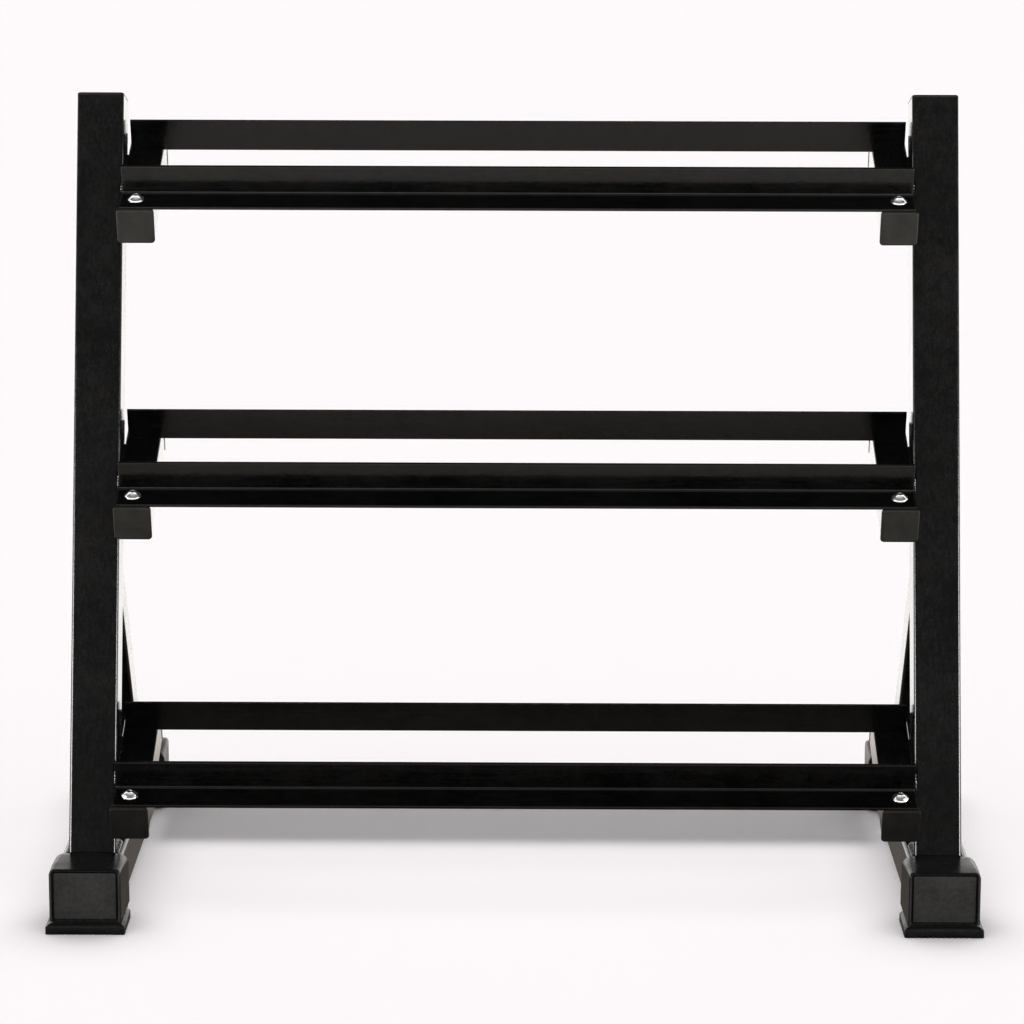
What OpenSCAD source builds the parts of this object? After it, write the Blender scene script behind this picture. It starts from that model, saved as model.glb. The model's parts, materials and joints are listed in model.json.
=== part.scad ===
// Three-tier dumbbell rack: two welded side frames of square tube on rubber
// boots, joined by six angle-iron rails that bolt to tilted bracket tubes.
// Millimetres. +Z is up, the front faces -Y, left is -X, and the origin is on
// the floor at the middle of the rack's footprint.

/* [Side frames] */
// Distance between the middle planes of the two side frames
frame_spacing = 898; // [760:2:1200]
// Height of the upper front edge of the uprights above the floor
rack_h = 854; // [836:1:900]
// Backward lean of the uprights, in degrees from vertical
lean = 15; // [12:0.5:18]
// Outer width of the square upright tube
upright_w = 50; // [46:1:56]
// Outer corner radius of the upright tube
upright_r = 4; // [2.5:0.1:5]
// Wall thickness of the uprights and the base tubes
frame_wall = 2; // [1.5:0.1:2.4]
// Thickness of the plastic plate that closes the top of an upright
top_cap_t = 2.5; // [1.5:0.1:4]
// Distance from the front end of a base tube to the foot of its upright
upright_toe = 71; // [71:1:90]

/* [Base tubes] */
// Length of a base tube, front to back
base_len = 555; // [520:1:640]
// Width of a base tube
base_w = 65; // [58:1:72]
// Height of a base tube
base_h = 50; // [44:1:56]
// Outer corner radius of a base tube
base_r = 4; // [3:0.5:6]

/* [Rear braces] */
// Outer width of the square brace tube
brace_w = 38; // [32:1:44]
// Slope of the brace, in degrees from horizontal
brace_angle = 53; // [50:0.5:56]
// Distance from the rear end of a base tube to the heel of the brace
brace_heel = 92; // [85:1:110]

/* [Bracket tubes] */
// Outer width of the square bracket tube
bracket_w = 38; // [36:1:42]
// Outer corner radius of the bracket and brace tubes
bracket_r = 3; // [2.5:0.1:4]
// Wall thickness of the bracket and brace tubes
bracket_wall = 2; // [1.5:0.1:2.4]
// Forward tilt of the brackets and their rails, in degrees
shelf_tilt = 20; // [15:0.5:24]
// How far a bracket's upper front edge stands ahead of its upright
bracket_reach = 63; // [55:1:75]
// Thickness of the plate of a bracket's end cap
end_cap_t = 3; // [2:0.1:4]
// How far an end cap's plate stands out past its tube on every side
end_cap_lip = 1; // [0:0.1:1]
// Length of the plug behind an end cap's plate
plug_len = 10; // [6:0.5:10]

/* [Tiers] */
// Height of the lower bracket's upper front edge above the floor
lower_tier_h = 127; // [120:1:135]
// Rise from one tier to the next
tier_rise = 305; // [290:1:310]

/* [Angle-iron rails] */
// Length of a rail
rail_len = 842; // [700:2:1140]
// Width of each flange of a rail
rail_w = 35; // [32:1:38]
// Thickness of the flanges
rail_t = 3; // [2.5:0.1:4]
// Radius of the fillet inside the angle
rail_fillet = 2.5; // [2:0.5:6]
// Radius at the toes of the flanges
rail_toe = 1.2; // [0.5:0.1:1.2]
// Clear distance between the standing flanges of a tier
rail_gap = 110; // [100:1:125]

/* [Rubber boots] */
// Thickness of rubber below the base tube
boot_floor = 14; // [12:0.5:18]
// Thickness of rubber over the base tube
boot_roof = 4; // [3:0.5:6]
// Thickness of rubber beside the base tube, at the mouth of the boot
boot_side = 6.5; // [5.5:0.5:8]
// How much narrower the boot is at its nose than at its mouth
boot_taper = 3.5; // [0:0.5:4]
// Thickness of rubber past the end of the base tube
boot_nose = 4; // [3:0.5:7]
// How much of the base tube a boot covers, measured on top
boot_grip = 67; // [55:1:68]
// Height of the flared sole
sole_h = 13; // [10:0.5:14]
// How far the sole stands out past the nose of the boot
sole_flare = 4; // [2:0.5:6]
// Width of the sole
sole_w = 83; // [80:1:96]
// Number of tread grooves in the sole
tread_n = 10; // [4:1:12]
// Pitch of the tread grooves
tread_pitch = 5.8; // [5:0.1:6.2]

/* [Fasteners] */
// Shank diameter of the rail bolts
bolt_d = 8; // [6:0.5:8.5]
// Length of the bolts under the head
bolt_len = 50; // [46:1:65]
// Diameter of the flange of the bolt head
bolt_flange_d = 17.5; // [15:0.1:20]
// Clearance hole in rails and brackets
hole_d = 9; // [8.8:0.1:10]
// Width across flats of the nuts
nut_af = 13; // [12.8:0.1:14]
// Height of the thin nuts
nut_h = 5; // [4:0.5:8]
// Washer diameter
washer_d = 17; // [16:0.5:22]
// Washer thickness
washer_t = 1.6; // [1:0.1:2.5]

/* [Hidden] */

// which side frame, and which end of the base
LEFT = -1;
RIGHT = 1;
FRONT = -1;
REAR = 1;

frame_black = [0.10, 0.10, 0.105];
plastic_black = [0.16, 0.16, 0.165];
rubber_grey = [0.19, 0.19, 0.195];
zinc = [0.78, 0.78, 0.79];

// side frames
frame_x = frame_spacing / 2;
base_z = boot_floor;
base_top = base_z + base_h;
foot_y = -base_len / 2 + upright_toe;
upright_len = rack_h / cos(lean);

// brackets: a bracket's own frame has y along the tube, from its front end,
// and z square to it, from its upper face
bracket_x = frame_x - upright_w / 2 - bracket_w / 2;
tube_len = rail_w + rail_gap + rail_w;
bracket_len = tube_len + 2 * end_cap_t;

// rails and their bolts, in the same frame
front_rail_y = end_cap_t;
rear_rail_y = end_cap_t + rail_w + rail_gap;
front_bolt_y = front_rail_y + rail_w / 2;
rear_bolt_y = rear_rail_y + rail_w / 2;

lower_z = lower_tier_h;
middle_z = lower_tier_h + tier_rise;
upper_z = lower_tier_h + 2 * tier_rise;

// front face of the uprights at height z
function face_y(z) = foot_y + (z - base_top) * tan(lean);

// ---------------------------------------------------------------- helpers

// rectangle with round corners, centred
module round_rect(w, h, r) {
  square([w - 2 * r, h], center = true);
  square([w, h - 2 * r], center = true);
  for (x = [-1, 1], y = [-1, 1])
    translate([x * (w / 2 - r), y * (h / 2 - r)]) circle(r, $fn = 48);
}

// section of a hollow tube, centred
module tube_section(w, h, r, t) {
  difference() {
    round_rect(w, h, r);
    round_rect(w - 2 * t, h - 2 * t, max(r - t, 0.4));
  }
}

// places children in the leaning frame of an upright: z runs up the tube from
// floor level and y = 0 is its front face
module along_upright(side) {
  translate([side * frame_x, face_y(0), 0]) rotate([-lean, 0, 0]) children();
}

// places children in the frame of a tier's brackets
module on_tier(z) {
  translate([0, face_y(z) - bracket_reach, z]) rotate([shelf_tilt, 0, 0]) children();
}

// ------------------------------------------------------------ side frames

module upright(side) {
  color(frame_black) difference() {
    along_upright(side)
      translate([0, upright_w / 2, 40])
        linear_extrude(upright_len - top_cap_t - 40)
          tube_section(upright_w, upright_w, upright_r, frame_wall);
    // foot cut level, to stand on the base tube
    translate([side * frame_x - 60, -base_len, -60]) cube([120, 2 * base_len, base_top + 60]);
  }
}

// plate on the end of a square tube with a hollow plug below it
module square_plug(w, r, wall, t, depth, lip = 0) {
  in_w = w - 2 * wall - 0.3;
  in_r = max(r - wall, 0.6);
  linear_extrude(t) round_rect(w + 2 * lip, w + 2 * lip, r + lip);
  translate([0, 0, -depth]) linear_extrude(depth)
    difference() {
      round_rect(in_w, in_w, in_r);
      square(in_w - 3.6, center = true);
    }
}

module upright_cap(side) {
  color(plastic_black)
    along_upright(side)
      translate([0, upright_w / 2, upright_len - top_cap_t])
        square_plug(upright_w, upright_r, frame_wall, top_cap_t, 14);
}

module base_tube(side) {
  color(frame_black)
    translate([side * frame_x, base_len / 2, base_z + base_h / 2]) rotate([90, 0, 0])
      linear_extrude(base_len) tube_section(base_w, base_h, base_r, frame_wall);
}

// diagonal strut from the back of the upright to the top of the base tube
module rear_brace(side) {
  color(frame_black) difference() {
    translate([side * frame_x, base_len / 2 - brace_heel, base_top]) rotate([90 - brace_angle, 0, 0])
      translate([0, -brace_w / 2, -60])
        linear_extrude(560) tube_section(brace_w, brace_w, bracket_r, bracket_wall);
    // heel cut level, to stand on the base tube
    translate([side * frame_x - 60, -base_len, -60]) cube([120, 2 * base_len, base_top + 60]);
    // head cut to lie against the back of the upright
    along_upright(side)
      translate([-60, upright_w - 300, -200]) cube([120, 300, 1200]);
  }
}

// ----------------------------------------------------------- rubber boots

// outline of the boot from the front, with round upper corners
module boot_front_outline() {
  top_w = base_w + 2 * boot_side;
  top_z = base_top + boot_roof;
  r = 5;
  translate([-top_w / 2, sole_h - 1]) square([top_w, top_z - r - sole_h + 1]);
  translate([-top_w / 2 + r, top_z - r]) square([top_w - 2 * r, r]);
  for (x = [-1, 1])
    translate([x * (top_w / 2 - r), top_z - r]) circle(r, $fn = 48);
}

// outline of the sole from the front: sloping shoulders over a square edge
module sole_front_outline() {
  polygon([
    [-sole_w / 2, 0], [sole_w / 2, 0],
    [sole_w / 2, sole_h * 0.55], [sole_w / 2 - sole_flare * 0.9, sole_h],
    [-sole_w / 2 + sole_flare * 0.9, sole_h], [-sole_w / 2, sole_h * 0.55]
  ]);
}

// one boot, with its closed nose at y = 0 and its mouth towards +y
module boot_shape() {
  nose = sole_flare;
  body_len = boot_nose + boot_grip;
  top_z = base_top + boot_roof;
  sole_len = nose + body_len - 2;
  mouth_w = base_w + 2 * boot_side;
  nose_w = mouth_w - boot_taper;
  difference() {
    union() {
      // body: front outline, trimmed to a plan that narrows towards the nose
      // and to a side outline with a raked mouth
      intersection() {
        translate([0, nose + body_len + 12, 0]) rotate([90, 0, 0])
          linear_extrude(body_len + 12) boot_front_outline();
        linear_extrude(top_z + 1)
          polygon([
            [-nose_w / 2, nose - 1], [nose_w / 2, nose - 1],
            [mouth_w / 2, nose + body_len], [mouth_w / 2, nose + body_len + 6],
            [-mouth_w / 2, nose + body_len + 6], [-mouth_w / 2, nose + body_len]
          ]);
        rotate([90, 0, 90]) translate([0, 0, -sole_w])
          linear_extrude(2 * sole_w)
            union() {
              polygon([
                [nose, 0], [nose + body_len + 5, 0], [nose + body_len + 5, sole_h],
                [nose + body_len, top_z], [nose + 2.5, top_z], [nose, top_z - 2.5]
              ]);
              translate([nose + 2.5, top_z - 2.5]) circle(2.5, $fn = 48);
            }
      }
      // sole: front outline, trimmed to a plan with round rear corners and to
      // a side outline with a sloping toe
      intersection() {
        translate([0, sole_len, 0]) rotate([90, 0, 0])
          linear_extrude(sole_len) sole_front_outline();
        linear_extrude(sole_h) union() {
          translate([-sole_w / 2, 0]) square([sole_w, sole_len - 12]);
          translate([-sole_w / 2 + 12, 0]) square([sole_w - 24, sole_len]);
          for (x = [-1, 1])
            translate([x * (sole_w / 2 - 12), sole_len - 12]) circle(12, $fn = 64);
        }
        rotate([90, 0, 90]) translate([0, 0, -sole_w])
          linear_extrude(2 * sole_w)
            polygon([
              [0, 0], [sole_len, 0], [sole_len, sole_h],
              [nose * 0.9, sole_h], [0, sole_h * 0.55]
            ]);
      }
    }
    // pocket for the end of the base tube
    translate([0, nose + boot_nose + 200, base_z + base_h / 2]) rotate([90, 0, 0])
      linear_extrude(200) round_rect(base_w, base_h, base_r);
    // tread grooves, open at the front edge
    for (i = [0 : tread_n - 1])
      translate([(i - (tread_n - 1) / 2) * tread_pitch - 1.3, -1, -1])
        cube([2.6, sole_len - 9, 2.6]);
  }
}

module boot(side, end) {
  color(rubber_grey)
    translate([side * frame_x, 0, 0]) rotate([0, 0, end == FRONT ? 0 : 180])
      translate([0, -base_len / 2 - boot_nose - sole_flare, 0]) boot_shape();
}

// -------------------------------------------------------------- brackets

module bracket(side, z) {
  color(frame_black) on_tier(z) difference() {
    translate([side * bracket_x, end_cap_t + tube_len, -bracket_w / 2]) rotate([90, 0, 0])
      linear_extrude(tube_len) tube_section(bracket_w, bracket_w, bracket_r, bracket_wall);
    for (y = [front_bolt_y, rear_bolt_y])
      translate([side * bracket_x, y, -bracket_w - 1]) cylinder(d = hole_d, h = bracket_w + 2, $fn = 48);
  }
}

module bracket_cap(side, z, end) {
  color(plastic_black) on_tier(z)
    translate([side * bracket_x, end == FRONT ? end_cap_t : end_cap_t + tube_len, -bracket_w / 2])
      rotate([end == FRONT ? 90 : -90, 0, 0])
        square_plug(bracket_w, bracket_r, bracket_wall, end_cap_t, plug_len, end_cap_lip);
}

// ----------------------------------------------------------------- rails

// angle section: lying flange along +x from the toe, standing flange at heel
module angle_section() {
  difference() {
    union() {
      translate([rail_toe, 0]) square([rail_w - rail_toe, rail_t]);
      square([rail_w, rail_t - rail_toe]);
      translate([rail_toe, rail_t - rail_toe]) circle(rail_toe, $fn = 32);
      translate([rail_w - rail_t, 0]) square([rail_t, rail_w - rail_toe]);
      translate([rail_w - rail_t + rail_toe, 0]) square([rail_t - rail_toe, rail_w]);
      translate([rail_w - rail_t + rail_toe, rail_w - rail_toe]) circle(rail_toe, $fn = 32);
      // fillet inside the angle
      translate([rail_w - rail_t - rail_fillet, rail_t]) square(rail_fillet);
    }
    translate([rail_w - rail_t - rail_fillet, rail_t + rail_fillet]) circle(rail_fillet, $fn = 48);
  }
}

module rail(z, end) {
  y = end == FRONT ? front_bolt_y : rear_bolt_y;
  color(frame_black) on_tier(z) difference() {
    translate([0, y, 0]) rotate([0, 0, end == FRONT ? 0 : 180])
      translate([-rail_len / 2, -rail_w / 2, 0]) rotate([90, 0, 90])
        linear_extrude(rail_len) angle_section();
    for (side = [LEFT, RIGHT])
      translate([side * bracket_x, y, -1]) cylinder(d = hole_d, h = rail_t + 2, $fn = 48);
  }
}

// ------------------------------------------------------------- fasteners

// domed bolt with a flange and a hexagon socket, head up, underside at 0
module bolt() {
  head_h = 6;
  difference() {
    union() {
      // flange and dome
      rotate_extrude($fn = 64)
        polygon([
          [0, 0], [bolt_flange_d / 2 - 0.3, 0], [bolt_flange_d / 2, 0.3], [bolt_flange_d / 2, 0.9],
          [bolt_flange_d / 2 - 0.4, 1.2], [7.1, 1.7], [6.4, 2.6], [5.5, 3.7], [4.5, 4.7],
          [3.6, 5.5], [3.1, head_h - 0.1], [2.8, head_h], [0, head_h]
        ]);
      // shank with a bevelled end
      translate([0, 0, -bolt_len + 1]) cylinder(d = bolt_d, h = bolt_len - 0.5, $fn = 48);
      translate([0, 0, -bolt_len]) cylinder(d1 = bolt_d - 2, d2 = bolt_d, h = 1, $fn = 48);
    }
    translate([0, 0, head_h - 3]) cylinder(d = 4 / cos(30), h = 4, $fn = 6);
  }
}

module rail_bolts(z, end) {
  color(zinc) on_tier(z)
    for (side = [LEFT, RIGHT])
      translate([side * bracket_x, end == FRONT ? front_bolt_y : rear_bolt_y, rail_t]) bolt();
}

module rail_washers(z, end) {
  color(zinc) on_tier(z)
    for (side = [LEFT, RIGHT])
      translate([side * bracket_x, end == FRONT ? front_bolt_y : rear_bolt_y, -bracket_w - washer_t])
        difference() {
          cylinder(d = washer_d, h = washer_t, $fn = 64);
          translate([0, 0, -1]) cylinder(d = bolt_d + 0.4, h = washer_t + 2, $fn = 48);
        }
}

// thin hexagon nut with bevelled corners, hanging below the washer
module hex_nut() {
  corner_d = nut_af / cos(30);
  difference() {
    translate([0, 0, -nut_h]) intersection() {
      cylinder(d = corner_d, h = nut_h, $fn = 6);
      union() {
        cylinder(d1 = corner_d - 1.5, d2 = corner_d + 1, h = 1, $fn = 64);
        translate([0, 0, 1]) cylinder(d = corner_d + 1, h = nut_h - 2, $fn = 64);
        translate([0, 0, nut_h - 1]) cylinder(d1 = corner_d + 1, d2 = corner_d - 1.5, h = 1, $fn = 64);
      }
    }
    translate([0, 0, -nut_h - 1]) cylinder(d = bolt_d + 0.1, h = nut_h + 2, $fn = 48);
  }
}

module rail_nuts(z, end) {
  color(zinc) on_tier(z)
    for (side = [LEFT, RIGHT])
      translate([side * bracket_x, end == FRONT ? front_bolt_y : rear_bolt_y, -bracket_w - washer_t]) hex_nut();
}

// -------------------------------------------------------------- assembly

upright(LEFT);  // left_upright
upright(RIGHT);  // right_upright
upright_cap(LEFT);  // left_upright_cap
upright_cap(RIGHT);  // right_upright_cap
base_tube(LEFT);  // left_base_tube
base_tube(RIGHT);  // right_base_tube
rear_brace(LEFT);  // left_rear_brace
rear_brace(RIGHT);  // right_rear_brace
boot(LEFT, FRONT);  // left_front_boot
boot(RIGHT, FRONT);  // right_front_boot
boot(LEFT, REAR);  // left_rear_boot
boot(RIGHT, REAR);  // right_rear_boot

bracket(LEFT, upper_z);  // left_upper_bracket
bracket(RIGHT, upper_z);  // right_upper_bracket
bracket(LEFT, middle_z);  // left_middle_bracket
bracket(RIGHT, middle_z);  // right_middle_bracket
bracket(LEFT, lower_z);  // left_lower_bracket
bracket(RIGHT, lower_z);  // right_lower_bracket

bracket_cap(LEFT, upper_z, FRONT);  // left_upper_bracket_front_cap
bracket_cap(RIGHT, upper_z, FRONT);  // right_upper_bracket_front_cap
bracket_cap(LEFT, upper_z, REAR);  // left_upper_bracket_rear_cap
bracket_cap(RIGHT, upper_z, REAR);  // right_upper_bracket_rear_cap
bracket_cap(LEFT, middle_z, FRONT);  // left_middle_bracket_front_cap
bracket_cap(RIGHT, middle_z, FRONT);  // right_middle_bracket_front_cap
bracket_cap(LEFT, middle_z, REAR);  // left_middle_bracket_rear_cap
bracket_cap(RIGHT, middle_z, REAR);  // right_middle_bracket_rear_cap
bracket_cap(LEFT, lower_z, FRONT);  // left_lower_bracket_front_cap
bracket_cap(RIGHT, lower_z, FRONT);  // right_lower_bracket_front_cap
bracket_cap(LEFT, lower_z, REAR);  // left_lower_bracket_rear_cap
bracket_cap(RIGHT, lower_z, REAR);  // right_lower_bracket_rear_cap

rail(upper_z, FRONT);  // upper_front_rail
rail(upper_z, REAR);  // upper_rear_rail
rail(middle_z, FRONT);  // middle_front_rail
rail(middle_z, REAR);  // middle_rear_rail
rail(lower_z, FRONT);  // lower_front_rail
rail(lower_z, REAR);  // lower_rear_rail

rail_bolts(upper_z, FRONT);  // upper_front_rail_bolts
rail_bolts(upper_z, REAR);  // upper_rear_rail_bolts
rail_bolts(middle_z, FRONT);  // middle_front_rail_bolts
rail_bolts(middle_z, REAR);  // middle_rear_rail_bolts
rail_bolts(lower_z, FRONT);  // lower_front_rail_bolts
rail_bolts(lower_z, REAR);  // lower_rear_rail_bolts

rail_washers(upper_z, FRONT);  // upper_front_rail_washers
rail_washers(upper_z, REAR);  // upper_rear_rail_washers
rail_washers(middle_z, FRONT);  // middle_front_rail_washers
rail_washers(middle_z, REAR);  // middle_rear_rail_washers
rail_washers(lower_z, FRONT);  // lower_front_rail_washers
rail_washers(lower_z, REAR);  // lower_rear_rail_washers

rail_nuts(upper_z, FRONT);  // upper_front_rail_nuts
rail_nuts(upper_z, REAR);  // upper_rear_rail_nuts
rail_nuts(middle_z, FRONT);  // middle_front_rail_nuts
rail_nuts(middle_z, REAR);  // middle_rear_rail_nuts
rail_nuts(lower_z, FRONT);  // lower_front_rail_nuts
rail_nuts(lower_z, REAR);  // lower_rear_rail_nuts
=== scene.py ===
import json
import math
import random

import bmesh
import bpy
from mathutils import Matrix, Vector, noise

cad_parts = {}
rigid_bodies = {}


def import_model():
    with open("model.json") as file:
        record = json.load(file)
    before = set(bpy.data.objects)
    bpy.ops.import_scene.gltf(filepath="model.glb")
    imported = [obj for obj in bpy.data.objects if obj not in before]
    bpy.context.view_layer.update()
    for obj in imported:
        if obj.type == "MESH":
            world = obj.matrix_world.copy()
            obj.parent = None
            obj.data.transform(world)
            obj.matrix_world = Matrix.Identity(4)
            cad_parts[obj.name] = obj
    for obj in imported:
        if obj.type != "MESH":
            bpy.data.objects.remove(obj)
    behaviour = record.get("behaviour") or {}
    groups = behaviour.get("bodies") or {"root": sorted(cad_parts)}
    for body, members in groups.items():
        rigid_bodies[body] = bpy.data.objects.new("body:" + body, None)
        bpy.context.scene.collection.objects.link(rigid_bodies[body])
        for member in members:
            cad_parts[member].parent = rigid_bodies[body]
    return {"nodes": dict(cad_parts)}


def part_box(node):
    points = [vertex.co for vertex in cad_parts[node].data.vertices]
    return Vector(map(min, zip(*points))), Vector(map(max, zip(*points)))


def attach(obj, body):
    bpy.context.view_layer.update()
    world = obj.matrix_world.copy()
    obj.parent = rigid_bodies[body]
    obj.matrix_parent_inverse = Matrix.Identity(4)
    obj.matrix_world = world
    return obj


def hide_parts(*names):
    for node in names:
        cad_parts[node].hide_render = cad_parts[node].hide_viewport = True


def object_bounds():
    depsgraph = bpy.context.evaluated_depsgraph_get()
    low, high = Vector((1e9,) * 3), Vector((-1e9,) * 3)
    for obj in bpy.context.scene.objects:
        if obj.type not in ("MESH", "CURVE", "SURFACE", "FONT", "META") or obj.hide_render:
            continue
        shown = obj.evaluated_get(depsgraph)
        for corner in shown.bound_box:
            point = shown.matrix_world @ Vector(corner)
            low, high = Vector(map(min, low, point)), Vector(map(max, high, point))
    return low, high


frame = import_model()
CAD_LO, CAD_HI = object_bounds()
SCENE = bpy.context.scene
COL = SCENE.collection
random.seed(7)

# ------------------------------------------------------------------ sizes
LEAN = math.radians(15)
TILT = math.radians(20)
SIDES = {"left": -1, "right": 1}
TIERS = ("upper", "middle", "lower")


def on_tier(tier):
    """Frame of a tier's brackets: y along the bracket, z square to its top."""
    lo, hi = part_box("left_%s_bracket" % tier)
    h = 0.038
    cap = 0.003
    y = lo.y - cap * math.cos(TILT)
    z = lo.z - cap * math.sin(TILT) + h * math.cos(TILT)
    return Matrix.Translation((0, y, z)) @ Matrix.Rotation(TILT, 4, "X")


def bracket_x(side):
    lo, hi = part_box("%s_upper_bracket" % side)
    return (lo.x + hi.x) / 2


def frame_x(side):
    lo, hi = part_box("%s_upright" % side)
    return (lo.x + hi.x) / 2


BASE_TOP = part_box("left_base_tube")[1].z
FOOT_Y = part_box("left_upright")[0].y


def face_y(z):
    """Front face of the uprights at height z."""
    return FOOT_Y + (z - BASE_TOP) * math.tan(LEAN)


# ----------------------------------------------------------------- camera
def make_camera():
    pos = Vector((0.01369, -4.2483, 1.22965))
    pitch, yaw, roll = math.radians(11.1007), math.radians(-0.2524), math.radians(0.1563)
    fwd = Vector((math.sin(yaw) * math.cos(pitch), math.cos(yaw) * math.cos(pitch), -math.sin(pitch)))
    right = fwd.cross(Vector((0, 0, 1))).normalized()
    up = right.cross(fwd).normalized()
    r2 = math.cos(roll) * right + math.sin(roll) * up
    u2 = -math.sin(roll) * right + math.cos(roll) * up
    rot = Matrix((r2, u2, -fwd)).transposed()
    data = bpy.data.cameras.new("camera")
    data.sensor_width = 36
    data.lens = 3948.0 * 36 / 1024
    data.clip_start, data.clip_end = 0.1, 200
    cam = bpy.data.objects.new("camera", data)
    cam.matrix_world = Matrix.Translation(pos) @ rot.to_4x4()
    COL.objects.link(cam)
    SCENE.camera = cam


make_camera()


# -------------------------------------------------------------- materials
class Nodes:
    """Small helper that builds a node tree."""

    def __init__(self, tree):
        self.t = tree
        tree.nodes.clear()

    def add(self, kind, **values):
        n = self.t.nodes.new(kind)
        for k, v in values.items():
            if hasattr(n, k) and not k[0].isupper():
                setattr(n, k, v)
            else:
                n.inputs[k.replace("_", " ")].default_value = v
        return n

    def link(self, a, out, b, into):
        self.t.links.new(a.outputs[out], b.inputs[into])

    def noise(self, coord, scale, detail=2.0, rough=0.5, out="Fac"):
        n = self.add("ShaderNodeTexNoise", Scale=scale, Detail=detail, Roughness=rough)
        self.link(coord, "Object", n, "Vector")
        return n

    def ramp(self, src, out, lo, hi, a=0.0, b=1.0):
        """Maps src from lo..hi to a..b, clamped."""
        m = self.add("ShaderNodeMapRange")
        m.inputs["From Min"].default_value = lo
        m.inputs["From Max"].default_value = hi
        m.inputs["To Min"].default_value = a
        m.inputs["To Max"].default_value = b
        self.link(src, out, m, "Value")
        return m

    def math(self, op, a, b=None):
        m = self.add("ShaderNodeMath", operation=op)
        for i, v in enumerate((a, b)):
            if v is None:
                continue
            if isinstance(v, tuple):
                self.t.links.new(v[0].outputs[v[1]], m.inputs[i])
            else:
                m.inputs[i].default_value = v
        return m

    def mix(self, fac, a, b):
        m = self.add("ShaderNodeMix", data_type="RGBA")
        if isinstance(fac, tuple):
            self.t.links.new(fac[0].outputs[fac[1]], m.inputs[0])
        else:
            m.inputs[0].default_value = fac
        for sock, v in ((m.inputs[6], a), (m.inputs[7], b)):
            if isinstance(v[0], bpy.types.Node):
                self.t.links.new(v[0].outputs[v[1]], sock)
            else:
                sock.default_value = (*v[:3], 1.0)
        return m

    def profile(self, src, out, points, top):
        """Curve through (position, value) points, values from 0 to top."""
        lo, hi = points[0][0], points[-1][0]
        t = self.ramp(src, out, lo, hi)
        r = self.add("ShaderNodeValToRGB")
        els = r.color_ramp.elements
        els[0].position, els[1].position = 0.0, 1.0
        els[0].color = (*[points[0][1] / top] * 3, 1)
        els[1].color = (*[points[-1][1] / top] * 3, 1)
        for pos, val in points[1:-1]:
            e = els.new((pos - lo) / (hi - lo))
            e.color = (*[val / top] * 3, 1)
        self.link(t, "Result", r, "Fac")
        return self.math("MULTIPLY", (r, "Color"), top)

    def bump(self, height, out, strength, distance, normal=None):
        b = self.add("ShaderNodeBump", Strength=strength, Distance=distance)
        self.link(height, out, b, "Height")
        if normal is not None:
            self.link(normal, "Normal", b, "Normal")
        return b


def new_material(name):
    m = bpy.data.materials.new(name)
    m.use_nodes = True
    return m, Nodes(m.node_tree)


def edge_mask(n, radius, lo=0.002, hi=0.12, outer_only=False):
    """0 on flat faces, rising to 1 on edges."""
    bev = n.add("ShaderNodeBevel", samples=6)
    bev.inputs["Radius"].default_value = radius
    geo = n.add("ShaderNodeNewGeometry")
    dot = n.add("ShaderNodeVectorMath", operation="DOT_PRODUCT")
    n.link(bev, "Normal", dot, 0)
    n.link(geo, "True Normal", dot, 1)
    inv = n.math("SUBTRACT", 1.0, (dot, "Value"))
    mask = n.ramp(inv, "Value", lo, hi)
    if outer_only:
        convex = n.ramp(geo, "Pointiness", 0.495, 0.515)
        both = n.math("MULTIPLY", (mask, "Result"), (convex, "Result"))
        mask = n.ramp(both, "Value", 0.0, 1.0)
    return bev, mask


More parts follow.
